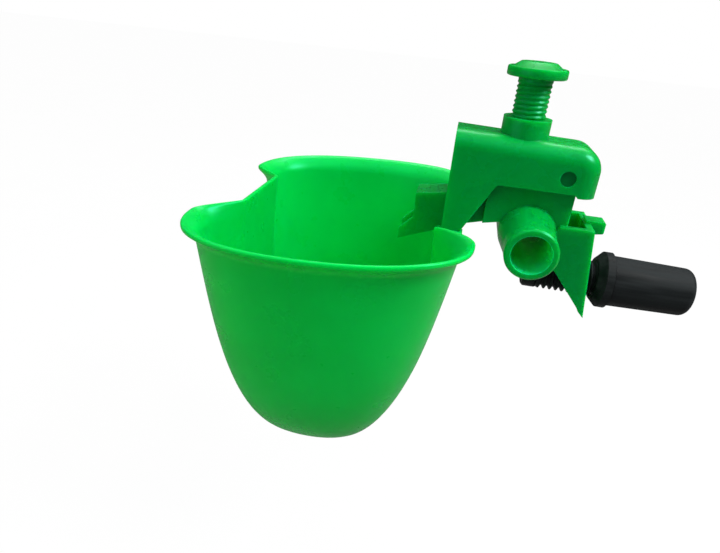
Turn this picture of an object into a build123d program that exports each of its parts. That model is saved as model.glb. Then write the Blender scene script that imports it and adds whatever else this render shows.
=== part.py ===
from build123d import *
from math import asin, cos, pi, radians, sin, sqrt
import os

# Automatic drinking bowl for poultry: a hanging cup whose weight works a small water valve.
# Millimetres. The origin is on the axis of the water tube, in the mid-plane of the fitting.
# X runs from the cup towards the wall, Y along the water tube, Z up.

# Clearances, and the small sink of one solid into the next where they are one moulding
running_gap = 0.05
side_gap = 0.2
seat_gap = 0.02
socket_gap = 0.1
join_sink = 0.5

# Cup: two rounded lobes with a straight-walled notch between them on each side
cup_x = -52.6
cup_z = 1.1
cup_droop = 2.45
cup_half_width = 35.6
cup_half_depth = 48.6
cup_height = 78.4
cup_wall = 1.3
cup_lean = 0.059
side_draft = 0.289
side_power = 3.75
end_draft = 0.242
end_power = 7.1
lobe_offset = 26.0
lobe_fullness = 0.637
lobe_fade = 0.158
notch_half_width = 28.5
notch_half_length = 14.4
notch_fade = 38.0
crease_fade = 14.0
flank_lead = 0.35
flank_turn = 0.3
slot_side_gap = 1.0
slot_drop = 3.0
lip_flare = 2.9
lip_bead = 1.3
lip_height = 5.0
lip_sections = 3
body_sections = 12
base_turn = 86

# Water tube with a hose spigot at each end
tube_half_length = 24.0
tube_bore_radius = 5.2
tube_root_radius = 7.9
spigot_radius = 6.9
spigot_land = 6.0
spigot_chamfer = 0.5

# Valve housing on top of the tube
housing_half_width = 7.0
housing_left = -12.5
housing_right = 10.3
housing_top = 22.0
well_x = -5.5
well_radius = 5.0
well_floor = 7.0
nozzle_height = 4.6
nozzle_radius = 2.4
nozzle_hole_radius = 1.25

# Pivot of the yoke
pivot_x = 7.0
pivot_z = 16.8
pin_radius = 2.0
pin_inset = 0.6
lug_radius = 3.3

# Spout that reaches over the edge of the cup
spout_half_width = 4.8
spout_wall = 1.2
spout_reach = -35.9
spout_hood_end = -32.2
spout_hood_top = 6.3
spout_root_top = 9.6
spout_root_bottom = 1.0
spout_bend = -16.5
spout_bend_bottom = -0.4
spout_lip_bottom = -8.2
spout_lip_top = -4.9
spout_shoulder = -1.1

# Wall bracket behind the tube
bracket_half_width = 9.0
bracket_wall = 1.8
bracket_top = 3.7
bracket_back = 17.2
bracket_tip_x = 20.5
bracket_tip_z = -22.4
gusset_thickness = 2.0
gusset_front_x = 10.2
gusset_front_z = -10.1
thread_block_front = 12.8
thread_block_top = -4.0
peg_reach = 4.0
peg_half_width = 2.5
peg_height = 4.2
peg_rise = 0.9
peg_lift = 0.9
peg_round = 0.5
peg_sink = 1.4

# Yoke that carries the cup and turns on the pivot pin
yoke_half_width = 9.0
yoke_left = -23.6
yoke_right = 15.4
yoke_bottom = 12.8
yoke_top = 25.75
yoke_top_fall = 1.1
yoke_top_wall = 2.85
yoke_end_wall = 1.8
yoke_edge_round = 4.5
yoke_corner_round = 6.5
toe_x = 10.5
toe_drop = 0.8
leg_corner_round = 1.2
leg_inner_x = -10.6
leg_foot_x = -18.2
leg_foot_z = -1.6
tongue_left = -22.7
tongue_right = -18.8
tongue_length = 8.0
boss_radius = 6.4
boss_height = 4.15

# Adjusting screw, hollow for the spring
screw_radius = 4.5
screw_chamfer = 0.4
screw_bottom = 23.6
screw_exposed = 10.15
spring_bore_radius = 3.4
spring_bore_end = 35.2
head_radius = 7.75
head_rim = 2.55
head_edge = 0.5
crown_radius = 6.3
crown_height = 1.3
crown_slope = 2.0

# Valve plunger, rubber pad and spring
pad_radius = 4.2
pad_thickness = 1.8
plunger_radius = 4.7
plunger_height = 3.0
plunger_skirt = 1.2
stem_radius = 1.9
stem_height = 4.3
spring_radius = 2.7
spring_wire = 0.8
spring_turns = 6
spring_wire_sides = 6
cap_thickness = 1.1
cap_stem_height = 2.0

# Clamp screw and its loose washer
clamp_z = -13.2
clamp_radius = 5.4
clamp_tip_x = 2.3
clamp_tip_chamfer = 0.6
mouth_gap = 0.8
mouth_depth = 1.5
washer_gap = 2.0
washer_radius = 8.2
washer_thickness = 4.1
washer_face_radius = 6.2
washer_cone = 2.0
knob_length = 22.7
knob_radius = 7.4
knob_end_radius = 6.9
knob_end_round = 2.4

# Heights and places that follow from the sizes above
boss_top = yoke_top + boss_height
head_bottom = boss_top + screw_exposed
cheek_inner = housing_half_width + side_gap
nozzle_top = well_floor + nozzle_height
pad_bottom = nozzle_top + seat_gap
pad_top = pad_bottom + pad_thickness
plunger_bottom = pad_top - plunger_skirt
plunger_top = plunger_bottom + plunger_height
spring_top = spring_bore_end - cap_thickness
tongue_bottom = leg_foot_z - tongue_length
ceiling = yoke_top - yoke_top_wall
lug_top = pivot_z + lug_radius
spout_root_x = housing_left + 1
spout_slope = (spout_bend_bottom - spout_lip_bottom) / (spout_bend - spout_reach)
notch_x = cup_x + notch_half_width
slot_floor = spout_bend_bottom + (notch_x - spout_bend) * spout_slope - slot_drop
slot_top = cup_z + lip_height
side_plane = Plane.XZ
rim_plane = Plane(
    origin=(cup_x, 0, cup_z),
    x_dir=(cos(radians(cup_droop)), 0, sin(radians(cup_droop))),
    z_dir=(-sin(radians(cup_droop)), 0, cos(radians(cup_droop))),
)


def bracket_face(height):
    """X of the outer face of the leaning bracket wall at a height."""
    share = (bracket_top - height) / (bracket_top - bracket_tip_z)
    return bracket_back + share * (bracket_tip_x - bracket_back)


washer_x = bracket_face(clamp_z - washer_radius) + washer_gap
knob_x = washer_x + washer_thickness


def cup_sizes(depth, inset):
    """Half width, half depth, notch half width and lobe offset of the cup's outline at a depth."""
    share = depth / (cup_height - inset)
    bead = lip_bead * (1 - inset / cup_wall)
    flare = lip_flare * min(max((lip_height - depth) / (lip_height - bead), 0), 1) ** 2
    half_width = (cup_half_width - inset) * (1 - side_draft * share) * sqrt(1 - share**side_power)
    half_depth = (cup_half_depth - inset) * (1 - end_draft * share) * sqrt(1 - share**end_power)
    notch_depth = (cup_half_width - notch_half_width) * max(1 - depth / notch_fade, 0)
    offset = min(lobe_offset * (1 - share) ** lobe_fade, 0.6 * half_depth)
    return half_width + flare, half_depth + flare, half_width - notch_depth, offset


def cup_section(depth, inset):
    """Sketch of the cup's outline at a depth, on a plane parallel to the rim."""
    half_width, half_depth, notch_x, offset = cup_sizes(depth, inset)
    corner_y = notch_half_length * offset / lobe_offset
    flank = offset - corner_y
    corner_lead = max(1 - depth / crease_fade, 0) * flank_lead * (half_width - notch_x)
    lean = cup_lean * depth
    with BuildSketch(rim_plane.offset(-depth)) as section:
        with BuildLine():
            for x in (1, -1):
                Line((x * notch_x - lean, -corner_y), (x * notch_x - lean, corner_y))
                for y in (1, -1):
                    Bezier(
                        (x * notch_x - lean, y * corner_y),
                        (x * (notch_x + corner_lead) - lean, y * (corner_y + flank_lead * flank)),
                        (x * half_width - lean, y * (offset - flank_turn * flank)),
                        (x * half_width - lean, y * offset),
                    )
                    Bezier(
                        (x * half_width - lean, y * offset),
                        (x * half_width - lean, y * (offset + lobe_fullness * (half_depth - offset))),
                        (x * lobe_fullness * half_width - lean, y * half_depth),
                        (-lean, y * half_depth),
                    )
        make_face()
    return section.sketch


def cup_solid(inset):
    """Solid with the cup's outline, set in by a wall thickness."""
    reach = cup_height - inset
    start = asin(lip_height / reach)
    curl = (lip_height - lip_bead) / lip_sections
    lip_depths = [0] + [lip_bead + curl * step for step in range(lip_sections + 1)]
    turns = [start + (radians(base_turn) - start) * step / body_sections for step in range(body_sections + 1)]
    with BuildPart() as form:
        loft([cup_section(depth, inset) for depth in lip_depths], ruled=True)
        loft([cup_section(reach * sin(turn), inset) for turn in turns], ruled=True)
    return form.part


cup_outer = cup_solid(0)
cup_inner = cup_solid(cup_wall)

with BuildPart() as cup:
    add(cup_outer)
    add(cup_inner, mode=Mode.SUBTRACT)
    # Sockets on the notch wall for the tongues of the yoke
    socket_right = tongue_right + cup_wall
    socket_left = notch_x - cup_wall / 2
    for side in (1, -1):
        with BuildSketch(Plane.XY.offset(tongue_bottom - cup_wall)):
            with Locations(((socket_left + socket_right) / 2, side * (cheek_inner + yoke_half_width) / 2)):
                Rectangle(socket_right - socket_left, yoke_half_width - cheek_inner + 2 * cup_wall)
        extrude(amount=tongue_length + cup_wall - 2 * socket_gap)
        with BuildSketch(Plane.XY.offset(tongue_bottom - socket_gap)):
            with Locations(((tongue_left + tongue_right) / 2, side * (cheek_inner + yoke_half_width) / 2)):
                Rectangle(
                    tongue_right - tongue_left + 2 * socket_gap,
                    yoke_half_width - cheek_inner + 2 * socket_gap,
                )
        extrude(amount=tongue_length + cup_wall, mode=Mode.SUBTRACT)
    # Slot that lets the spout in over the notch wall
    with BuildSketch(Plane.YZ.offset(notch_x - 3 * cup_wall)):
        with Locations((0, (slot_floor + slot_top) / 2)):
            Rectangle(2 * (spout_half_width + slot_side_gap), slot_top - slot_floor)
    extrude(amount=6 * cup_wall, mode=Mode.SUBTRACT)

with BuildPart() as valve_body:
    # Water tube, turned about Y
    with BuildSketch(Plane.XY):
        with BuildLine():
            Polyline(
                (0, 0),
                (tube_root_radius, 0),
                (tube_root_radius, housing_half_width),
                (spigot_radius, tube_half_length - spigot_land),
                (spigot_radius, tube_half_length - spigot_chamfer),
                (spigot_radius - spigot_chamfer, tube_half_length),
                (0, tube_half_length),
                close=True,
            )
        make_face()
    revolve(axis=Axis.Y)
    mirror(about=Plane.XZ)
    # Housing
    with BuildSketch(side_plane):
        with BuildLine():
            Polyline(
                (housing_left, spout_root_bottom),
                (-tube_root_radius, spout_root_bottom + 1),
                (0, 0),
                (housing_right, 0),
                (housing_right, pivot_z),
            )
            RadiusArc((housing_right, pivot_z), (pivot_x, lug_top), -lug_radius)
            Polyline(
                (pivot_x, lug_top),
                (well_x + well_radius + 1, lug_top),
                (well_x + well_radius + 1, housing_top),
                (housing_left, housing_top),
                (housing_left, spout_root_bottom),
            )
        make_face()
    extrude(amount=housing_half_width, both=True)
    # Spout
    with BuildSketch(side_plane):
        with BuildLine():
            Polyline(
                (spout_root_x, spout_root_bottom),
                (spout_bend, spout_bend_bottom),
                (spout_reach, spout_lip_bottom),
                (spout_reach, spout_lip_top),
                (spout_hood_end, spout_shoulder),
                (spout_hood_end, spout_hood_top),
                (spout_root_x, spout_root_top),
                close=True,
            )
        make_face()
    extrude(amount=spout_half_width, both=True)
    # Bracket wall, gussets and thread block
    with BuildSketch(side_plane):
        with BuildLine():
            Polyline(
                (bracket_back - bracket_wall, bracket_top),
                (bracket_back, bracket_top),
                (bracket_tip_x, bracket_tip_z),
                (bracket_tip_x - bracket_wall, bracket_tip_z + bracket_wall),
                close=True,
            )
        make_face()
    extrude(amount=bracket_half_width, both=True)
    for side in (1, -1):
        with BuildSketch(side_plane.offset(-side * bracket_half_width)):
            with BuildLine():
                Polyline(
                    (housing_right - gusset_thickness, bracket_top),
                    (bracket_back - join_sink, bracket_top),
                    (bracket_tip_x, bracket_tip_z),
                    (gusset_front_x, gusset_front_z),
                    (tube_root_radius / 2, -tube_root_radius / 2),
                    close=True,
                )
            make_face()
        extrude(amount=side * gusset_thickness)
    with BuildSketch(side_plane):
        front_share = (thread_block_front - gusset_front_x) / (bracket_tip_x - gusset_front_x)
        front_z = gusset_front_z + front_share * (bracket_tip_z - gusset_front_z)
        with BuildLine():
            Polyline(
                (thread_block_front, thread_block_top),
                (bracket_face(thread_block_top) - join_sink, thread_block_top),
                (bracket_tip_x - join_sink, bracket_tip_z + join_sink),
                (thread_block_front, front_z),
                close=True,
            )
        make_face()
    extrude(amount=bracket_half_width - gusset_thickness, both=True)
    # Peg, with its underside rising more than a line square to the wall
    with BuildSketch(side_plane):
        peg_top = bracket_top + peg_rise
        with BuildLine():
            peg_line = FilletPolyline(
                (bracket_back - peg_sink, peg_top),
                (bracket_back + peg_reach, peg_top),
                (bracket_back + peg_reach, peg_top - peg_height + peg_lift),
                (bracket_back - peg_sink, peg_top - peg_height),
                radius=peg_round,
            )
            Line(peg_line @ 1, peg_line @ 0)
        make_face()
    extrude(amount=peg_half_width, both=True)
    # Bore of the tube
    with BuildSketch(Plane.XZ):
        Circle(tube_bore_radius)
    extrude(amount=tube_half_length + 1, both=True, mode=Mode.SUBTRACT)
    # Valve well with the nozzle left standing in it
    with BuildSketch(Plane.XY.offset(well_floor)):
        with Locations((well_x, 0)):
            Circle(well_radius)
            Circle(nozzle_radius, mode=Mode.SUBTRACT)
    extrude(amount=housing_top - well_floor + 1, mode=Mode.SUBTRACT)
    with BuildSketch(Plane.XY.offset(nozzle_top)):
        with Locations((well_x, 0)):
            Circle((nozzle_radius + well_radius) / 2)
    extrude(amount=housing_top - nozzle_top + 1, mode=Mode.SUBTRACT)
    with BuildSketch(Plane.XY):
        with Locations((well_x, 0)):
            Circle(nozzle_hole_radius)
    extrude(amount=nozzle_top, mode=Mode.SUBTRACT)
    # Channel of the spout
    channel_start = well_x - (nozzle_radius + well_radius) / 2
    with BuildSketch(side_plane):
        with BuildLine():
            Polyline(
                (channel_start, well_floor),
                (housing_left + spout_wall, well_floor),
                (spout_root_x, spout_root_bottom + 1.5 * spout_wall),
                (spout_bend, spout_bend_bottom + spout_wall),
                (spout_reach - 1, spout_lip_bottom + spout_wall - spout_slope),
                (spout_reach - 1, spout_hood_top - spout_wall),
                (spout_hood_end, spout_hood_top - spout_wall),
                (spout_root_x, spout_root_top - spout_wall),
                (channel_start, spout_root_top - spout_wall),
                close=True,
            )
        make_face()
    extrude(amount=spout_half_width - spout_wall, both=True, mode=Mode.SUBTRACT)
    # Pin hole and clamp screw hole
    with BuildSketch(side_plane):
        with Locations((pivot_x, pivot_z)):
            Circle(pin_radius)
    extrude(amount=housing_half_width + 1, both=True, mode=Mode.SUBTRACT)
    with BuildSketch(Plane.YZ.offset(gusset_front_x)):
        with Locations((0, clamp_z)):
            Circle(clamp_radius + running_gap)
    extrude(amount=washer_x - gusset_front_x, mode=Mode.SUBTRACT)
    mouth_x = bracket_face(clamp_z) - mouth_depth
    with BuildSketch(Plane.YZ.offset(mouth_x)):
        with Locations((0, clamp_z)):
            Circle(clamp_radius + mouth_gap)
    extrude(amount=washer_x - mouth_x, mode=Mode.SUBTRACT)

with BuildPart() as yoke:
    with BuildSketch(side_plane):
        with BuildLine():
            FilletPolyline(
                (yoke_left, yoke_top),
                (yoke_right, yoke_top - yoke_top_fall),
                (yoke_right, yoke_bottom - toe_drop),
                radius=yoke_corner_round,
            )
            Polyline(
                (yoke_right, yoke_bottom - toe_drop),
                (toe_x, yoke_bottom - toe_drop),
                (toe_x - toe_drop, yoke_bottom),
                (0, yoke_bottom),
            )
            FilletPolyline(
                (0, yoke_bottom),
                (leg_inner_x, yoke_bottom),
                (leg_foot_x, leg_foot_z),
                radius=leg_corner_round,
            )
            Polyline(
                (leg_foot_x, leg_foot_z),
                (yoke_left, leg_foot_z),
                (yoke_left, yoke_top),
            )
        make_face()
    extrude(amount=yoke_half_width, both=True)
    top_edges = yoke.faces().sort_by(Axis.Z)[-1].edges().sort_by(Axis.Y)
    fillet([top_edges[0], top_edges[-1]], yoke_edge_round)
    # Inside of the channel, open below, and the open middle between the legs
    with BuildSketch(side_plane):
        with BuildLine():
            Polyline(
                (yoke_left + yoke_end_wall, leg_foot_z - 1),
                (yoke_left + yoke_end_wall, ceiling),
                (yoke_right - yoke_corner_round, ceiling),
                (yoke_right - yoke_end_wall, ceiling - yoke_corner_round + yoke_end_wall),
                (yoke_right - yoke_end_wall, leg_foot_z - 1),
                close=True,
            )
        make_face()
        with Locations((yoke_left, (leg_foot_z - 1 + yoke_bottom) / 2)):
            Rectangle(3 * yoke_end_wall, yoke_bottom - leg_foot_z + 1)
    extrude(amount=cheek_inner, both=True, mode=Mode.SUBTRACT)
    # Tongues that plug into the sockets of the cup
    for side in (1, -1):
        with BuildSketch(Plane.XY.offset(tongue_bottom)):
            with Locations(((tongue_left + tongue_right) / 2, side * (cheek_inner + yoke_half_width) / 2)):
                Rectangle(tongue_right - tongue_left, yoke_half_width - cheek_inner)
        extrude(amount=tongue_length + 1)
    # Boss for the adjusting screw
    with BuildSketch(Plane.XY.offset(ceiling)):
        with Locations((well_x, 0)):
            Circle(boss_radius)
    extrude(amount=boss_top - ceiling)
    with BuildSketch(Plane.XY.offset(ceiling)):
        with Locations((well_x, 0)):
            Circle(screw_radius + running_gap)
    extrude(amount=boss_top - ceiling, mode=Mode.SUBTRACT)
    # Pin holes
    with BuildSketch(side_plane):
        with Locations((pivot_x, pivot_z)):
            Circle(pin_radius + running_gap)
    extrude(amount=yoke_half_width + 1, both=True, mode=Mode.SUBTRACT)

with BuildPart() as pivot_pin:
    with BuildSketch(side_plane):
        with Locations((pivot_x, pivot_z)):
            Circle(pin_radius)
    extrude(amount=yoke_half_width - pin_inset, both=True)

with BuildPart() as adjusting_screw:
    with BuildSketch(Plane.XZ):
        with BuildLine():
            Polyline(
                (well_x, spring_bore_end),
                (well_x + spring_bore_radius, spring_bore_end),
                (well_x + spring_bore_radius, screw_bottom),
                (well_x + screw_radius - screw_chamfer, screw_bottom),
                (well_x + screw_radius, screw_bottom + screw_chamfer),
                (well_x + screw_radius, head_bottom),
                (well_x + head_radius - head_edge, head_bottom),
                (well_x + head_radius, head_bottom + head_edge),
                (well_x + head_radius, head_bottom + head_rim - head_edge),
                (well_x + head_radius - head_edge, head_bottom + head_rim),
                (well_x + crown_radius, head_bottom + head_rim),
                (well_x + crown_radius - crown_slope, head_bottom + head_rim + crown_height),
                (well_x, head_bottom + head_rim + crown_height),
                close=True,
            )
        make_face()
    revolve(axis=Axis((well_x, 0, 0), (0, 0, 1)))

with BuildPart() as spring_cap:
    with BuildSketch(Plane.XY.offset(spring_top)):
        with Locations((well_x, 0)):
            Circle(spring_bore_radius - side_gap)
    extrude(amount=cap_thickness)
    with BuildSketch(Plane.XY.offset(spring_top - cap_stem_height)):
        with Locations((well_x, 0)):
            Circle(stem_radius)
    extrude(amount=cap_stem_height)

with BuildPart() as spring:
    coil_height = spring_top - plunger_top - spring_wire
    with BuildLine():
        Helix(
            pitch=coil_height / spring_turns,
            height=coil_height,
            radius=spring_radius,
            center=(well_x, 0, plunger_top + spring_wire / 2),
        )
    coil_start = Plane(
        origin=(well_x + spring_radius, 0, plunger_top + spring_wire / 2),
        x_dir=(1, 0, 0),
        z_dir=(0, 1, 0),
    )
    with BuildSketch(coil_start):
        RegularPolygon(spring_wire / 2, spring_wire_sides)
    sweep(is_frenet=True)

with BuildPart() as plunger:
    with BuildSketch(Plane.XY.offset(plunger_bottom)):
        with Locations((well_x, 0)):
            Circle(plunger_radius)
    extrude(amount=plunger_height)
    with BuildSketch(Plane.XY.offset(plunger_bottom)):
        with Locations((well_x, 0)):
            Circle(pad_radius + seat_gap)
    extrude(amount=plunger_skirt, mode=Mode.SUBTRACT)
    with BuildSketch(Plane.XY.offset(plunger_top)):
        with Locations((well_x, 0)):
            Circle(stem_radius)
    extrude(amount=stem_height)

with BuildPart() as valve_pad:
    with BuildSketch(Plane.XY.offset(pad_bottom)):
        with Locations((well_x, 0)):
            Circle(pad_radius)
    extrude(amount=pad_thickness)

with BuildPart() as clamp_screw:
    with BuildSketch(Plane.XZ):
        with BuildLine():
            Polyline(
                (clamp_tip_x, clamp_z),
                (clamp_tip_x, clamp_z + clamp_radius - clamp_tip_chamfer),
                (clamp_tip_x + clamp_tip_chamfer, clamp_z + clamp_radius),
                (knob_x, clamp_z + clamp_radius),
                (knob_x, clamp_z + knob_radius),
            )
            knob_end = knob_x + knob_length
            FilletPolyline(
                (knob_x, clamp_z + knob_radius),
                (knob_end, clamp_z + knob_end_radius),
                (knob_end, clamp_z),
                radius=knob_end_round,
            )
            Line((knob_end, clamp_z), (clamp_tip_x, clamp_z))
        make_face()
    revolve(axis=Axis((0, 0, clamp_z), (1, 0, 0)))

with BuildPart() as clamp_washer:
    with BuildSketch(Plane.XZ):
        with BuildLine():
            Polyline(
                (washer_x, clamp_z + clamp_radius + running_gap),
                (washer_x, clamp_z + washer_face_radius),
                (washer_x + washer_cone, clamp_z + washer_radius),
                (knob_x, clamp_z + washer_radius),
                (knob_x, clamp_z + clamp_radius + running_gap),
                close=True,
            )
        make_face()
    revolve(axis=Axis((0, 0, clamp_z), (1, 0, 0)))

pieces = {
    "cup": cup,
    "yoke": yoke,
    "valve_body": valve_body,
    "pivot_pin": pivot_pin,
    "adjusting_screw": adjusting_screw,
    "spring_cap": spring_cap,
    "spring": spring,
    "plunger": plunger,
    "valve_pad": valve_pad,
    "clamp_screw": clamp_screw,
    "clamp_washer": clamp_washer,
}
os.makedirs("parts", exist_ok=True)
for name, piece in pieces.items():
    piece.part.label = name
    export_step(piece.part, f"parts/{name}.step")
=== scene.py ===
from math import asin, cos, pi, radians, sin, sqrt

import bmesh
import bpy
from mathutils import Matrix, Vector


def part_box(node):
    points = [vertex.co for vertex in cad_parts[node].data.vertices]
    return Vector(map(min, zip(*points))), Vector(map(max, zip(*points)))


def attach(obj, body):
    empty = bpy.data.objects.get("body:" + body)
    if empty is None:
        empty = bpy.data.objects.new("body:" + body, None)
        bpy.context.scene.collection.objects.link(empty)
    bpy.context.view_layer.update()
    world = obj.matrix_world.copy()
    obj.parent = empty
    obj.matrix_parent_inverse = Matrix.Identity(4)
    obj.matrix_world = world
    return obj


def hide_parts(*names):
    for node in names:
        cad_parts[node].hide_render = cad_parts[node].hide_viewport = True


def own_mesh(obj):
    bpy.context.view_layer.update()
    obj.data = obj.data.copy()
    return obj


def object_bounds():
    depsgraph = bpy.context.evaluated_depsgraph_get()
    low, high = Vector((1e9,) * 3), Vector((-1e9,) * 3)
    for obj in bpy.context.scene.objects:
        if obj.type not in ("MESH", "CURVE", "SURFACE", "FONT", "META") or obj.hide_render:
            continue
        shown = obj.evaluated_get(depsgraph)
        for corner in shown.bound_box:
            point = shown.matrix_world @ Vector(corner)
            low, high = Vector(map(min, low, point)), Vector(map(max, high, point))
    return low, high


# Automatic drinking bowl for poultry, dressed for a studio photograph.
# Metres. The frame is the CAD's: X from the cup towards the wall, Y along the water tube, Z up.

MM = 0.001

# Camera, as the photograph was taken
CAMERA_PLACE = Vector((-22.22, -157.64, 51.47)) * MM
CAMERA_YAW = radians(8.842)
CAMERA_PITCH = radians(25.684)
CAMERA_ROLL = radians(5.575)
SENSOR_WIDTH = 36.0
LENS = 27.45
CLIP_START = 0.01

# Cup: its outline is worked out as in the solids, at a depth below the rim and an inset
CUP_CENTRE = Vector((-52.6, 0, 1.1)) * MM
CUP_DROOP = radians(2.45)
CUP_HALF_WIDTH = 35.6 * MM
CUP_HALF_DEPTH = 48.6 * MM
CUP_HEIGHT = 78.4 * MM
CUP_WALL = 1.3 * MM
CUP_LEAN = 0.059
SIDE_DRAFT = 0.289
SIDE_POWER = 3.75
END_DRAFT = 0.242
END_POWER = 7.1
LOBE_OFFSET = 26.0 * MM
LOBE_OFFSET_LIMIT = 0.6
LOBE_FULLNESS = 0.637
LOBE_FADE = 0.158
NOTCH_HALF_WIDTH = 28.5 * MM
NOTCH_HALF_LENGTH = 14.4 * MM
NOTCH_FADE = 38.0 * MM
CREASE_FADE = 14.0 * MM
FLANK_LEAD = 0.35
FLANK_TURN = 0.3
LIP_FLARE = 2.9 * MM
LIP_BEAD = 1.3 * MM
LIP_HEIGHT = 5.0 * MM
BASE_TURN = radians(86)

# Slot for the spout, in the notch wall next to the fitting
SLOT_DEPTH = 8.7 * MM
SLOT_HALF_WIDTH = 5.8 * MM
SLOT_CORNER = 4.5 * MM
SLOT_LEAD = 1.6 * MM
SLOT_FADE = 22.0 * MM

# How far the rim hangs lower round that notch: at the crease, at the lobe's corner, and the share
# of the lobe over which it comes back up
CREASE_DROP = 1.8 * MM
TIP_DROP = 1.1 * MM
TIP_DROP_SHARE = 0.6

# Mesh of the cup
BODY_ROWS = 36
LIP_ROWS = 9
RIM_STEPS = 8
SLOT_FLOOR_STEPS = 3
SLOT_CORNER_STEPS = 6
NOTCH_STEPS = 5
FLANK_STEPS = 12
LOBE_STEPS = 22

# Sockets of the cup, for the tongues of the yoke
SOCKET_LOW = Vector((-24.75, 5.9, -10.9)) * MM
SOCKET_HIGH = Vector((-17.5, 10.3, -1.8)) * MM
SOCKET_WALL = 1.2 * MM
SOCKET_EDGE = 0.35 * MM

# Adjusting screw
SCREW_RADIUS = 4.5 * MM
SCREW_PITCH = 1.25 * MM
SCREW_THREAD_DEPTH = 0.3 * MM
SCREW_LEAD_IN = 0.4 * MM
SCREW_RUN_OUT = 0.6 * MM
SPRING_BORE_RADIUS = 3.4 * MM
SPRING_BORE_END = 35.2 * MM
HEAD_RIM = 2.55 * MM
HEAD_NECK = 0.5 * MM
HEAD_EDGE = 0.5 * MM
HEAD_EDGE_STEP = 0.15 * MM
CROWN_RADIUS = 6.3 * MM
CROWN_FLAT_RADIUS = 4.3 * MM
CROWN_HEIGHT = 1.3 * MM
CROWN_EDGE = 0.3 * MM
CROWN_EDGE_STEP = 0.1 * MM

# Clamp screw
CLAMP_PITCH = 1.75 * MM
CLAMP_THREAD_DEPTH = 0.95 * MM
CLAMP_RADIUS = 5.4 * MM
CLAMP_TIP_LENGTH = 3.4 * MM
CLAMP_TIP_CHAMFER = 0.6 * MM
CLAMP_RELIEF = 0.3 * MM
CLAMP_LEAD_IN = 0.4 * MM
CLAMP_RUN_OUT = 0.2 * MM
KNOB_END_RADIUS = 6.9 * MM
KNOB_EDGE = 0.3 * MM
KNOB_ROUND = 2.4 * MM
KNOB_ROUND_STEPS = 8

# Threads: the ridge's flanks are cut off flat at its crest and its root
RIDGE_TOP = 1.3
RIDGE_SLOPE = 3.25

# Turned meshes
TURN_STEPS = 96
THREAD_STEPS = 12

# Edges sharper than these angles, in degrees, stay sharp in the shading
SOLID_SMOOTH_ANGLE = 35
CUP_SMOOTH_ANGLE = 38
TURNED_SMOOTH_ANGLE = 40

# Colours as 8-bit screen values: a pair is what the clouds or streaks go between
CUP_GREEN = ((0, 200, 77), (0, 188, 70))
FITTING_GREEN = ((0, 167, 65), (0, 155, 58))
# Lighter green for the tube's bore, painted light for the light that comes through the tube's wall
BORE_PAINTED_LIGHT = (16, 228, 124)
# Darker green for the pivot pin, painted shade for its end sitting back in the shadow of its hole
PIN_PAINTED_SHADE = ((0, 112, 44), (0, 100, 40))
CLAMP_BLACK = ((15, 18, 19), (42, 46, 47))
INNER_WHITE = ((232, 232, 226), (220, 220, 212))
PAD_BLACK = ((30, 30, 30), (42, 42, 42))
STEEL = (175, 175, 172)

# Green plastic: noise scales are per metre, and the gloss has a tint
CLOUD_SCALE = 45
HAZE_SCALE = 120
HAZE_BELOW = 0.05
HAZE_ABOVE = 0.07
WAVE_SCALE = 35
WAVE_HEIGHT = 0.1 * MM
WAVE_STRENGTH = 0.3
GREEN_IOR = 1.49
GREEN_SPECULAR = 0.35
GREEN_GLOSS = (0.1, 1.0, 0.8, 1.0)
GREEN_SCATTER = (0.2, 1.0, 0.35)
GREEN_SCATTER_DEPTH = 6.0 * MM

# Black plastic, with streaks along the knob
STREAK_SCALE = 420
STREAK_STRETCH = (0.08, 1, 1)
STREAK_ROUGHNESS = (0.4, 0.7)
SCUFF_SCALE = 260
SCUFF_HEIGHT = 0.08 * MM
BLACK_SPECULAR = 0.08

# Small inner mouldings and spring wire
INNER_CLOUD_SCALE = 200
FINE_SCALE = 900
FINE_HEIGHT = 0.02 * MM
STEEL_ROUGHNESS = (0.2, 0.4)

# Rounding of moulded edges in the shading
EDGE_ROUND = 0.25 * MM
EDGE_SAMPLES = 4

# Bore of the water tube, with a little room: inside this radius the bore's green is painted
# lighter, as painted light
BORE_LIGHT_RADIUS = 5.3 * MM

# Noise values that are spread over the whole range of a colour or roughness
NOISE_LOW = 0.2
NOISE_HIGH = 0.8

# Studio
FLOOR_DROP = 60 * MM
FLOOR_SIZE = 6.0
FLOOR_GREYS = (0.2, 0.22)
FLOOR_GRAIN_SCALE = 30
FLOOR_ROUGHNESS = 0.9
FLOOR_WHITE = 0.85
FLOOR_GLOW = 1.13
SKY_LOW = 0.4
SKY_HIGH = 0.9
SIDE_LIGHT = 0.04
SKY_LIGHT = 1.35
WHITE = (1, 1, 1, 1)
LAMP_AIM = Vector((-0.03, 0, -0.01))

# Lamps: name, place, width and height, and watts
LAMPS = (
    ("key", (0.38, -0.10, 0.42), (0.22, 0.22), 3.5),
    ("fill", (-0.45, -0.40, 0.05), (0.5, 0.5), 0.8),
    ("rim", (0.0, 0.30, 0.50), (0.5, 0.12), 1.3),
)


def linear(red, green, blue):
    """A colour given as 8-bit screen values, as the shader wants it."""
    def channel(value):
        share = value / 255
        return share / 12.92 if share <= 0.04045 else ((share + 0.055) / 1.055) ** 2.4
    return channel(red), channel(green), channel(blue), 1.0


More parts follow.
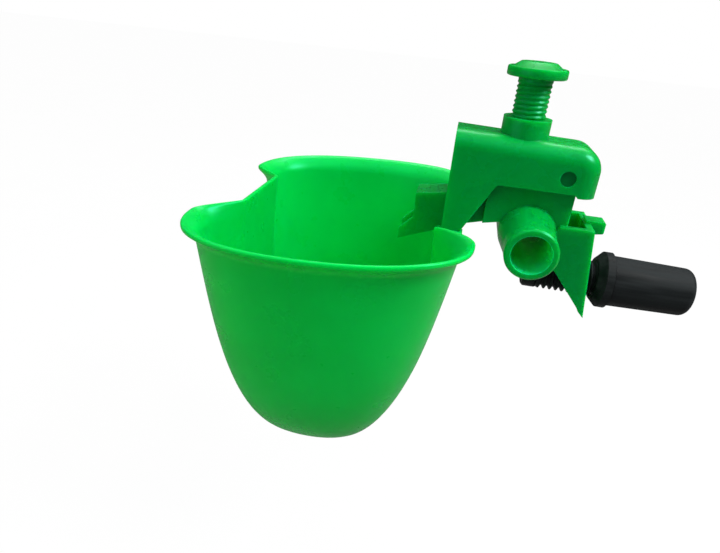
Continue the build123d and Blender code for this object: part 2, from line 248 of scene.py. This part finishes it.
def camera():
    """Camera at the photograph's place and angle."""
    forward = Vector((-sin(CAMERA_YAW), cos(CAMERA_YAW), 0))
    right = Vector((cos(CAMERA_YAW), sin(CAMERA_YAW), 0))
    up = Vector((0, 0, 1))
    ahead = forward * cos(CAMERA_PITCH) - up * sin(CAMERA_PITCH)
    above = up * cos(CAMERA_PITCH) + forward * sin(CAMERA_PITCH)
    across = right * cos(CAMERA_ROLL) + above * sin(CAMERA_ROLL)
    top = above * cos(CAMERA_ROLL) - right * sin(CAMERA_ROLL)
    data = bpy.data.cameras.new("camera")
    data.sensor_width = SENSOR_WIDTH
    data.lens = LENS
    data.clip_start = CLIP_START
    viewer = bpy.data.objects.new("camera", data)
    bpy.context.scene.collection.objects.link(viewer)
    place = Matrix((across, top, -ahead)).transposed().to_4x4()
    place.translation = CAMERA_PLACE
    viewer.matrix_world = place
    bpy.context.scene.camera = viewer


class Shader:
    """A material with one principled shader, and short ways to add nodes to it."""

    def __init__(self, name):
        self.material = bpy.data.materials.new(name)
        self.material.use_nodes = True
        self.tree = self.material.node_tree
        self.surface = self.tree.nodes["Principled BSDF"]
        self.place = self.node("ShaderNodeTexCoord").outputs["Object"]

    def node(self, kind, **values):
        made = self.tree.nodes.new(kind)
        for name, value in values.items():
            setattr(made, name, value)
        return made

    def link(self, source, target):
        self.tree.links.new(source, target)

    def noise(self, scale, detail=2.0, stretch=(1, 1, 1)):
        """Noise in the object's own space, with features of about 1/scale metres."""
        mapping = self.node("ShaderNodeMapping")
        mapping.inputs["Scale"].default_value = stretch
        self.link(self.place, mapping.inputs["Vector"])
        texture = self.node("ShaderNodeTexNoise")
        texture.inputs["Scale"].default_value = scale
        texture.inputs["Detail"].default_value = detail
        self.link(mapping.outputs["Vector"], texture.inputs["Vector"])
        return texture.outputs["Fac"]

    def spread(self, value, low, high):
        """A value from 0 to 1 spread between two limits."""
        ramp = self.node("ShaderNodeMapRange", interpolation_type="SMOOTHSTEP")
        ramp.inputs["From Min"].default_value = NOISE_LOW
        ramp.inputs["From Max"].default_value = NOISE_HIGH
        ramp.inputs["To Min"].default_value = low
        ramp.inputs["To Max"].default_value = high
        self.link(value, ramp.inputs["Value"])
        return ramp.outputs["Result"]

    def near_y_axis(self, radius):
        """One within a radius of the Y axis, and nought outside it."""
        flat = self.node("ShaderNodeVectorMath", operation="MULTIPLY")
        flat.inputs[1].default_value = (1, 0, 1)
        self.link(self.place, flat.inputs[0])
        length = self.node("ShaderNodeVectorMath", operation="LENGTH")
        self.link(flat.outputs["Vector"], length.inputs[0])
        inside = self.node("ShaderNodeMath", operation="LESS_THAN")
        self.link(length.outputs["Value"], inside.inputs[0])
        inside.inputs[1].default_value = radius
        return inside.outputs[0]

    def mix(self, factor, first, second):
        """A colour between two colours."""
        blend = self.node("ShaderNodeMix", data_type="RGBA")
        self.link(factor, blend.inputs["Factor"])
        for socket, colour in (("A", first), ("B", second)):
            inputs = [s for s in blend.inputs if s.name == socket and s.type == "RGBA"]
            if hasattr(colour, "is_output"):
                self.link(colour, inputs[0])
            else:
                inputs[0].default_value = colour
        return [s for s in blend.outputs if s.type == "RGBA"][0]

    def bump(self, height, distance, strength=1.0, edge=0.0):
        """Bump of a height, in metres, over edges that are rounded in the shading by a radius."""
        made = self.node("ShaderNodeBump")
        if edge:
            rounded = self.node("ShaderNodeBevel", samples=EDGE_SAMPLES)
            rounded.inputs["Radius"].default_value = edge
            self.link(rounded.outputs["Normal"], made.inputs["Normal"])
        made.inputs["Distance"].default_value = distance
        made.inputs["Strength"].default_value = strength
        self.link(height, made.inputs["Height"])
        self.link(made.outputs["Normal"], self.surface.inputs["Normal"])


def green_plastic(name, colours, roughness, glow, edge=0.0, bore=None):
    """Glossy moulded plastic: cloudy colour and uneven gloss. Where edges are rounded, its faces
    are faintly wavy too. A bore can have a lighter colour, for the light that comes through the
    tube's wall."""
    shader = Shader(name)
    light, deep = (linear(*colour) for colour in colours)
    cloud = shader.spread(shader.noise(CLOUD_SCALE, detail=3.0), 0.0, 1.0)
    colour = shader.mix(cloud, light, deep)
    # Painted light: a lighter green near the tube's axis, for the light that comes through its
    # wall
    if bore:
        colour = shader.mix(shader.near_y_axis(BORE_LIGHT_RADIUS), colour, linear(*bore))
    shader.link(colour, shader.surface.inputs["Base Color"])
    grain = shader.noise(HAZE_SCALE, detail=4.0)
    haze = shader.spread(grain, roughness - HAZE_BELOW, roughness + HAZE_ABOVE)
    shader.link(haze, shader.surface.inputs["Roughness"])
    if edge:
        shader.bump(shader.noise(WAVE_SCALE, detail=0.0), WAVE_HEIGHT, WAVE_STRENGTH, edge)
    shader.surface.inputs["IOR"].default_value = GREEN_IOR
    shader.surface.inputs["Specular IOR Level"].default_value = GREEN_SPECULAR
    shader.surface.inputs["Specular Tint"].default_value = GREEN_GLOSS
    shader.surface.inputs["Subsurface Weight"].default_value = glow
    shader.surface.inputs["Subsurface Radius"].default_value = GREEN_SCATTER
    shader.surface.inputs["Subsurface Scale"].default_value = GREEN_SCATTER_DEPTH
    return shader.material


def black_plastic(name, colours):
    """Black moulded plastic with a soft sheen, long draw lines and handling marks."""
    shader = Shader(name)
    deep, light = (linear(*colour) for colour in colours)
    lines = shader.noise(STREAK_SCALE, detail=3.0, stretch=STREAK_STRETCH)
    streaks = shader.spread(lines, 0.0, 1.0)
    shader.link(shader.mix(streaks, deep, light), shader.surface.inputs["Base Color"])
    shader.link(shader.spread(streaks, *STREAK_ROUGHNESS), shader.surface.inputs["Roughness"])
    scuffs = shader.noise(SCUFF_SCALE, detail=4.0, stretch=STREAK_STRETCH)
    shader.bump(scuffs, SCUFF_HEIGHT, strength=0.5, edge=EDGE_ROUND)
    shader.surface.inputs["Specular IOR Level"].default_value = BLACK_SPECULAR
    return shader.material


def plain_plastic(name, colours, roughness):
    """Small inner mouldings."""
    shader = Shader(name)
    light, deep = (linear(*colour) for colour in colours)
    cloud = shader.spread(shader.noise(INNER_CLOUD_SCALE), 0.0, 1.0)
    shader.link(shader.mix(cloud, light, deep), shader.surface.inputs["Base Color"])
    shader.surface.inputs["Roughness"].default_value = roughness
    shader.bump(shader.noise(FINE_SCALE), FINE_HEIGHT, strength=0.5)
    return shader.material


def drawn_steel(name):
    """Spring wire."""
    shader = Shader(name)
    lines = shader.spread(shader.noise(FINE_SCALE), *STEEL_ROUGHNESS)
    shader.link(lines, shader.surface.inputs["Roughness"])
    shader.surface.inputs["Base Color"].default_value = linear(*STEEL)
    shader.surface.inputs["Metallic"].default_value = 1.0
    return shader.material


def paint(piece, material):
    """Gives a piece one material all over."""
    piece.data.materials.clear()
    piece.data.materials.append(material)


def smooth(piece, angle):
    """Smooth shading over edges flatter than an angle."""
    for face in piece.data.polygons:
        face.use_smooth = True
    piece.data.set_sharp_from_angle(angle=radians(angle))


def cup_sizes(depth, inset):
    """Half width, half depth, notch half width and lobe offset of the cup's outline at a depth."""
    share = depth / (CUP_HEIGHT - inset)
    bead = LIP_BEAD * (1 - inset / CUP_WALL)
    flare = LIP_FLARE * min(max((LIP_HEIGHT - depth) / (LIP_HEIGHT - bead), 0), 1) ** 2
    half_width = (CUP_HALF_WIDTH - inset) * (1 - SIDE_DRAFT * share) * sqrt(1 - share**SIDE_POWER)
    half_depth = (CUP_HALF_DEPTH - inset) * (1 - END_DRAFT * share) * sqrt(1 - share**END_POWER)
    notch_depth = (CUP_HALF_WIDTH - NOTCH_HALF_WIDTH) * max(1 - depth / NOTCH_FADE, 0)
    offset = min(LOBE_OFFSET * (1 - share) ** LOBE_FADE, LOBE_OFFSET_LIMIT * half_depth)
    return half_width + flare, half_depth + flare, half_width - notch_depth, offset


def bezier(points, share):
    """Point of a cubic Bezier curve."""
    rest = 1 - share
    weights = (rest**3, 3 * rest**2 * share, 3 * rest * share**2, share**3)
    return (
        sum(weight * x for weight, (x, _) in zip(weights, points)),
        sum(weight * y for weight, (_, y) in zip(weights, points)),
    )


def cup_point(column, depth, inset):
    """Point of the cup's wall. A column is a quarter's signs, a stretch of its outline and a
    share of that stretch."""
    x_sign, y_sign, stretch, share = column
    half_width, half_depth, notch_x, offset = cup_sizes(depth, inset)
    corner_y = NOTCH_HALF_LENGTH * offset / LOBE_OFFSET
    flank = offset - corner_y
    corner_lead = max(1 - depth / CREASE_FADE, 0) * FLANK_LEAD * (half_width - notch_x)
    if stretch == "notch":
        x, y = notch_x, corner_y * share
    elif stretch == "flank":
        x, y = bezier(
            (
                (notch_x, corner_y),
                (notch_x + corner_lead, corner_y + FLANK_LEAD * flank),
                (half_width, offset - FLANK_TURN * flank),
                (half_width, offset),
            ),
            share,
        )
    else:
        x, y = bezier(
            (
                (half_width, offset),
                (half_width, offset + LOBE_FULLNESS * (half_depth - offset)),
                (LOBE_FULLNESS * half_width, half_depth),
                (0, half_depth),
            ),
            share,
        )
    across = x_sign * x - CUP_LEAN * depth
    return CUP_CENTRE + Vector((
        across * cos(CUP_DROOP) + depth * sin(CUP_DROOP),
        y_sign * y,
        across * sin(CUP_DROOP) - depth * cos(CUP_DROOP),
    ))


def cup_columns():
    """Columns once round the outline, from the middle of the notch at +X towards +Y."""
    slot_edge = SLOT_HALF_WIDTH / NOTCH_HALF_LENGTH
    corner = SLOT_CORNER / NOTCH_HALF_LENGTH
    rest = 1 - slot_edge - corner
    notch = [slot_edge * step / SLOT_FLOOR_STEPS for step in range(SLOT_FLOOR_STEPS)]
    corner_steps = range(SLOT_CORNER_STEPS + 1)
    notch += [slot_edge + corner * step / SLOT_CORNER_STEPS for step in corner_steps]
    notch += [slot_edge + corner + rest * step / NOTCH_STEPS for step in range(1, NOTCH_STEPS)]
    quarter = [("notch", share) for share in notch]
    quarter += [("flank", step / FLANK_STEPS) for step in range(FLANK_STEPS)]
    quarter += [("lobe", step / LOBE_STEPS) for step in range(LOBE_STEPS + 1)]
    columns = []
    for x_sign, y_sign in ((1, 1), (-1, 1), (-1, -1), (1, -1)):
        run = [(x_sign, y_sign, stretch, share) for stretch, share in quarter]
        if x_sign * y_sign < 0:
            run.reverse()
        columns += run[:-1]
    return columns


def slot_depth(column):
    """How far the slot cuts the rim down at a column: only in the notch wall next to the
    fitting. The edge leads down from the crease, and then rounds down to the slot's floor."""
    x_sign, _, stretch, share = column
    if x_sign < 0 or stretch != "notch":
        return 0
    place = share * NOTCH_HALF_LENGTH
    corner = SLOT_HALF_WIDTH + SLOT_CORNER
    lead = min((NOTCH_HALF_LENGTH - place) / (NOTCH_HALF_LENGTH - corner), 1)
    inside = min(max((corner - place) / SLOT_CORNER, 0), 1)
    return SLOT_LEAD * lead + (SLOT_DEPTH - SLOT_LEAD) * (1 - sqrt(1 - inside**2))


def rim_drop(column):
    """How far the rim hangs lower at a column, round the notch next to the fitting."""
    x_sign, _, stretch, share = column
    if x_sign < 0:
        return 0
    if stretch == "notch":
        return CREASE_DROP
    if stretch == "flank":
        return CREASE_DROP * (1 - share) ** 2 + TIP_DROP * share**2
    reach = min(share / TIP_DROP_SHARE, 1)
    return TIP_DROP * (1 - reach**2 * (3 - 2 * reach))


def cup():
    """The cup as one smooth moulding with a rounded lip, and the two sockets on its notch wall."""
    rim_round = CUP_WALL / 2
    lip_turn = asin(LIP_HEIGHT / CUP_HEIGHT)
    turns = [BASE_TURN + (lip_turn - BASE_TURN) * row / BODY_ROWS for row in range(BODY_ROWS)]
    outside = [CUP_HEIGHT * sin(turn) for turn in turns]
    outside += [LIP_HEIGHT + (rim_round - LIP_HEIGHT) * row / LIP_ROWS for row in range(LIP_ROWS)]
    stations = [(depth, 0) for depth in outside]
    for step in range(RIM_STEPS + 1):
        turn = pi * step / RIM_STEPS
        stations.append((rim_round * (1 - sin(turn)), rim_round * (1 - cos(turn))))
    share = (CUP_HEIGHT - CUP_WALL) / CUP_HEIGHT
    stations += [(depth * share, CUP_WALL) for depth in reversed(outside)]
    columns = cup_columns()
    form = bmesh.new()
    rings = []
    for depth, inset in stations:
        ring = []
        for column in columns:
            fade = min(max((SLOT_FADE - depth) / (SLOT_FADE - rim_round), 0), 1)
            point = cup_point(column, depth + fade * slot_depth(column), inset)
            point.z -= fade * rim_drop(column)
            ring.append(form.verts.new(point))
        rings.append(ring)
    count = len(columns)
    for lower, upper in zip(rings, rings[1:]):
        for step in range(count):
            after = (step + 1) % count
            form.faces.new((lower[step], lower[after], upper[after], upper[step]))
    for ring in (rings[0], rings[-1]):
        middle = form.verts.new(sum((vertex.co for vertex in ring), Vector()) / count)
        for step in range(count):
            form.faces.new((middle, ring[step], ring[(step + 1) % count]))
    for side in (1, -1):
        socket(form, side)
    bmesh.ops.recalc_face_normals(form, faces=form.faces)
    piece = shown("cup_moulded", form)
    smooth(piece, CUP_SMOOTH_ANGLE)
    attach(piece, "yoke")
    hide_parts("cup")
    return piece


def socket(form, side):
    """One socket: a block with chamfered edges and a pocket from above."""
    low = Vector((SOCKET_LOW.x, side * SOCKET_LOW.y, SOCKET_LOW.z))
    high = Vector((SOCKET_HIGH.x, side * SOCKET_HIGH.y, SOCKET_HIGH.z))

    def ring(inward, height):
        middle = (low + high) / 2
        rows = []
        for x_sign, y_sign in ((1, 1), (-1, 1), (-1, -1), (1, -1)):
            x = middle.x + x_sign * ((high.x - low.x) / 2 - inward)
            y = middle.y + y_sign * (abs(high.y - low.y) / 2 - inward)
            rows.append(form.verts.new((x, y, height)))
        return rows

    rings = [
        ring(SOCKET_EDGE, low.z),
        ring(0, low.z + SOCKET_EDGE),
        ring(0, high.z - SOCKET_EDGE),
        ring(SOCKET_EDGE, high.z),
        ring(SOCKET_WALL, high.z),
        ring(SOCKET_WALL, low.z + SOCKET_WALL),
    ]
    for lower, upper in zip(rings, rings[1:]):
        for step in range(4):
            after = (step + 1) % 4
            form.faces.new((lower[step], lower[after], upper[after], upper[step]))
    form.faces.new(rings[0])
    form.faces.new(rings[-1])


def shown(name, form):
    """Object made from a bmesh, linked to the scene."""
    mesh = bpy.data.meshes.new(name)
    form.to_mesh(mesh)
    form.free()
    piece = bpy.data.objects.new(name, mesh)
    bpy.context.scene.collection.objects.link(piece)
    return piece


def turned(name, stations, centre, axis, across):
    """Closed mesh turned about an axis. Each station gives a length along the axis and a radius,
    which may change with the angle; the first and last stations lie on the axis."""
    side = axis.cross(across)
    form = bmesh.new()
    rings = []
    for along, radius in stations[1:-1]:
        ring = []
        for step in range(TURN_STEPS):
            turn = 2 * pi * step / TURN_STEPS
            reach = radius(turn) if callable(radius) else radius
            outward = across * cos(turn) + side * sin(turn)
            ring.append(form.verts.new(centre + axis * along + outward * reach))
        rings.append(ring)
    first = form.verts.new(centre + axis * stations[0][0])
    last = form.verts.new(centre + axis * stations[-1][0])
    for step in range(TURN_STEPS):
        after = (step + 1) % TURN_STEPS
        form.faces.new((first, rings[0][after], rings[0][step]))
        form.faces.new((last, rings[-1][step], rings[-1][after]))
        for lower, upper in zip(rings, rings[1:]):
            form.faces.new((lower[step], lower[after], upper[after], upper[step]))
    bmesh.ops.recalc_face_normals(form, faces=form.faces)
    return shown(name, form)


def thread(start, end, crest, depth, pitch):
    """Stations of a right-hand thread between two lengths along the axis, faded in and out."""
    count = round((end - start) / pitch * THREAD_STEPS)
    stations = []
    for step in range(count + 1):
        along = start + (end - start) * step / count
        fade = min((along - start) / pitch, (end - along) / pitch, 1)

        def radius(turn, along=along, fade=fade):
            phase = (along / pitch - turn / (2 * pi)) % 1
            ridge = max(0.0, min(1.0, RIDGE_TOP - RIDGE_SLOPE * abs(phase - 0.5)))
            return crest - depth * fade * (1 - ridge)

        stations.append((along, radius))
    return stations


def adjusting_screw():
    """The hollow adjusting screw with its thread and mushroom head."""
    low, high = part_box("adjusting_screw")
    centre = Vector(((low.x + high.x) / 2, 0, 0))
    head = (high.x - low.x) / 2
    rim_top = high.z - CROWN_HEIGHT
    head_bottom = rim_top - HEAD_RIM
    thread_start = low.z + SCREW_LEAD_IN
    thread_end = head_bottom - SCREW_RUN_OUT
    stations = [
        (SPRING_BORE_END, 0),
        (SPRING_BORE_END, SPRING_BORE_RADIUS),
        (low.z, SPRING_BORE_RADIUS),
        (low.z, SCREW_RADIUS - SCREW_THREAD_DEPTH),
    ]
    stations += thread(thread_start, thread_end, SCREW_RADIUS, SCREW_THREAD_DEPTH, SCREW_PITCH)
    stations += [
        (head_bottom - HEAD_NECK, SCREW_RADIUS),
        (head_bottom - HEAD_EDGE_STEP, SCREW_RADIUS + HEAD_EDGE_STEP),
        (head_bottom, SCREW_RADIUS + HEAD_NECK),
        (head_bottom, head - HEAD_EDGE),
        (head_bottom + HEAD_EDGE_STEP, head - HEAD_EDGE_STEP),
        (head_bottom + HEAD_EDGE, head),
        (rim_top - HEAD_EDGE, head),
        (rim_top - HEAD_EDGE_STEP, head - HEAD_EDGE_STEP),
        (rim_top, head - HEAD_EDGE),
        (rim_top, CROWN_RADIUS),
        (high.z - CROWN_EDGE_STEP, CROWN_FLAT_RADIUS + CROWN_EDGE),
        (high.z, CROWN_FLAT_RADIUS - CROWN_EDGE),
        (high.z, 0),
    ]
    axis = Vector((0, 0, 1))
    across = Vector((1, 0, 0))
    piece = turned("adjusting_screw_threaded", stations, centre, axis, across)
    smooth(piece, TURNED_SMOOTH_ANGLE)
    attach(piece, "adjusting_screw")
    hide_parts("adjusting_screw")
    return piece


def clamp_screw():
    """The clamp screw with its thread, plain tip and tapered knob."""
    low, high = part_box("clamp_screw")
    centre = Vector((0, 0, (low.z + high.z) / 2))
    tip_end = low.x + CLAMP_TIP_LENGTH
    knob_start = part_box("clamp_washer")[1].x
    knob = (high.z - low.z) / 2
    stations = [
        (low.x, 0),
        (low.x, CLAMP_RADIUS - CLAMP_TIP_CHAMFER),
        (low.x + CLAMP_TIP_CHAMFER, CLAMP_RADIUS),
        (tip_end, CLAMP_RADIUS),
        (tip_end + CLAMP_RELIEF, CLAMP_RADIUS - CLAMP_THREAD_DEPTH),
    ]
    thread_start = tip_end + CLAMP_LEAD_IN
    thread_end = knob_start - CLAMP_RUN_OUT
    stations += thread(thread_start, thread_end, CLAMP_RADIUS, CLAMP_THREAD_DEPTH, CLAMP_PITCH)
    stations += [
        (knob_start, CLAMP_RADIUS),
        (knob_start, knob - KNOB_EDGE),
        (knob_start + KNOB_EDGE, knob),
    ]
    for step in range(KNOB_ROUND_STEPS + 1):
        turn = pi / 2 * step / KNOB_ROUND_STEPS
        along = high.x - KNOB_ROUND + KNOB_ROUND * sin(turn)
        stations.append((along, KNOB_END_RADIUS - KNOB_ROUND + KNOB_ROUND * cos(turn)))
    stations.append((high.x, 0))
    axis = Vector((1, 0, 0))
    across = Vector((0, 1, 0))
    piece = turned("clamp_screw_threaded", stations, centre, axis, across)
    smooth(piece, TURNED_SMOOTH_ANGLE)
    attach(piece, "clamp_screw")
    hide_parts("clamp_screw")
    return piece


def studio():
    """Pale floor, soft lamps and a surround that is bright overhead and dim at the sides."""
    scene = bpy.context.scene
    scene.view_settings.view_transform = "Standard"
    low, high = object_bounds()
    bpy.ops.mesh.primitive_plane_add(size=FLOOR_SIZE, location=(0, 0, low[2] - FLOOR_DROP))
    floor = bpy.context.object
    floor.name = "floor"
    paint(floor, pale_floor())

    world = bpy.data.worlds.new("world")
    scene.world = world
    world.use_nodes = True
    nodes = world.node_tree.nodes
    links = world.node_tree.links
    place = nodes.new("ShaderNodeTexCoord")
    split = nodes.new("ShaderNodeSeparateXYZ")
    links.new(place.outputs["Generated"], split.inputs[0])
    rise = nodes.new("ShaderNodeMapRange")
    rise.interpolation_type = "SMOOTHSTEP"
    rise.inputs["From Min"].default_value = SKY_LOW
    rise.inputs["From Max"].default_value = SKY_HIGH
    rise.inputs["To Min"].default_value = SIDE_LIGHT
    rise.inputs["To Max"].default_value = SKY_LIGHT
    links.new(split.outputs["Z"], rise.inputs["Value"])
    surround = nodes["Background"]
    surround.inputs["Color"].default_value = WHITE
    links.new(rise.outputs["Result"], surround.inputs["Strength"])
    backdrop = nodes.new("ShaderNodeBackground")
    backdrop.inputs["Color"].default_value = WHITE
    path = nodes.new("ShaderNodeLightPath")
    blend = nodes.new("ShaderNodeMixShader")
    links.new(path.outputs["Is Camera Ray"], blend.inputs[0])
    links.new(surround.outputs[0], blend.inputs[1])
    links.new(backdrop.outputs[0], blend.inputs[2])
    links.new(blend.outputs[0], nodes["World Output"].inputs["Surface"])

    for name, place, size, power in LAMPS:
        lamp(name, place, size, power)


def pale_floor():
    """Floor that the camera sees as nearly white, and that stays matt and dark for the light."""
    shader = Shader("pale_floor")
    grain = shader.spread(shader.noise(FLOOR_GRAIN_SCALE), 0.0, 1.0)
    dark, light = ((grey, grey, grey, 1) for grey in FLOOR_GREYS)
    shader.link(shader.mix(grain, dark, light), shader.surface.inputs["Base Color"])
    shader.surface.inputs["Roughness"].default_value = FLOOR_ROUGHNESS
    shader.surface.inputs["Specular IOR Level"].default_value = 0.0
    glow = shader.node("ShaderNodeEmission")
    glow.inputs["Color"].default_value = WHITE
    glow.inputs["Strength"].default_value = FLOOR_GLOW
    path = shader.node("ShaderNodeLightPath")
    share = shader.node("ShaderNodeMath", operation="MULTIPLY")
    shader.link(path.outputs["Is Camera Ray"], share.inputs[0])
    share.inputs[1].default_value = FLOOR_WHITE
    blend = shader.node("ShaderNodeMixShader")
    shader.link(share.outputs[0], blend.inputs[0])
    shader.link(shader.surface.outputs[0], blend.inputs[1])
    shader.link(glow.outputs[0], blend.inputs[2])
    output = next(node for node in shader.tree.nodes if node.type == "OUTPUT_MATERIAL")
    shader.link(blend.outputs[0], output.inputs["Surface"])
    return shader.material


def lamp(name, place, size, power):
    """Soft lamp of a width and a height that faces the fitting."""
    data = bpy.data.lights.new(name, "AREA")
    data.shape = "RECTANGLE"
    data.size, data.size_y = size
    data.energy = power
    light = bpy.data.objects.new(name, data)
    bpy.context.scene.collection.objects.link(light)
    light.location = place
    aim = LAMP_AIM - Vector(place)
    light.rotation_euler = aim.to_track_quat("-Z", "Y").to_euler()


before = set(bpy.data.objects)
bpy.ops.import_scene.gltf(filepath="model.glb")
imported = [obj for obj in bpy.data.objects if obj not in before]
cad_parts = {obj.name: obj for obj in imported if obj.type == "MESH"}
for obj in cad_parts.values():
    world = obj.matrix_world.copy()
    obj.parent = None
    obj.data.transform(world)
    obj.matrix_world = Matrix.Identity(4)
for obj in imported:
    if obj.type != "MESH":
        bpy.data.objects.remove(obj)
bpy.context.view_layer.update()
camera()

cup_green = green_plastic("cup_green", CUP_GREEN, roughness=0.3, glow=0.6)
fitting_green = green_plastic(
    "fitting_green", FITTING_GREEN, roughness=0.26, glow=0.8, edge=EDGE_ROUND
)
# The valve body's bore gets painted light: a lighter green near the tube's axis
valve_green = green_plastic(
    "valve_green", FITTING_GREEN, roughness=0.26, glow=0.8, edge=EDGE_ROUND, bore=BORE_PAINTED_LIGHT
)
# The pin's green is painted darker, as painted shade for its end deep in its hole
pin_shaded_green = green_plastic("pin_shaded_green", PIN_PAINTED_SHADE, roughness=0.35, glow=0.1)
clamp_black = black_plastic("clamp_black", CLAMP_BLACK)
inner_white = plain_plastic("inner_white", INNER_WHITE, roughness=0.4)
pad_rubber = plain_plastic("pad_rubber", PAD_BLACK, roughness=0.7)
spring_steel = drawn_steel("spring_steel")

finishes = {
    "yoke": fitting_green,
    "valve_body": valve_green,
    "pivot_pin": pin_shaded_green,
    "spring_cap": inner_white,
    "spring": spring_steel,
    "plunger": inner_white,
    "valve_pad": pad_rubber,
    "clamp_washer": clamp_black,
}
for node, material in finishes.items():
    paint(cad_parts[node], material)
    smooth(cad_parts[node], SOLID_SMOOTH_ANGLE)
paint(cup(), cup_green)
paint(adjusting_screw(), fitting_green)
paint(clamp_screw(), clamp_black)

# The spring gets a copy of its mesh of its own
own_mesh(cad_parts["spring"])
studio()
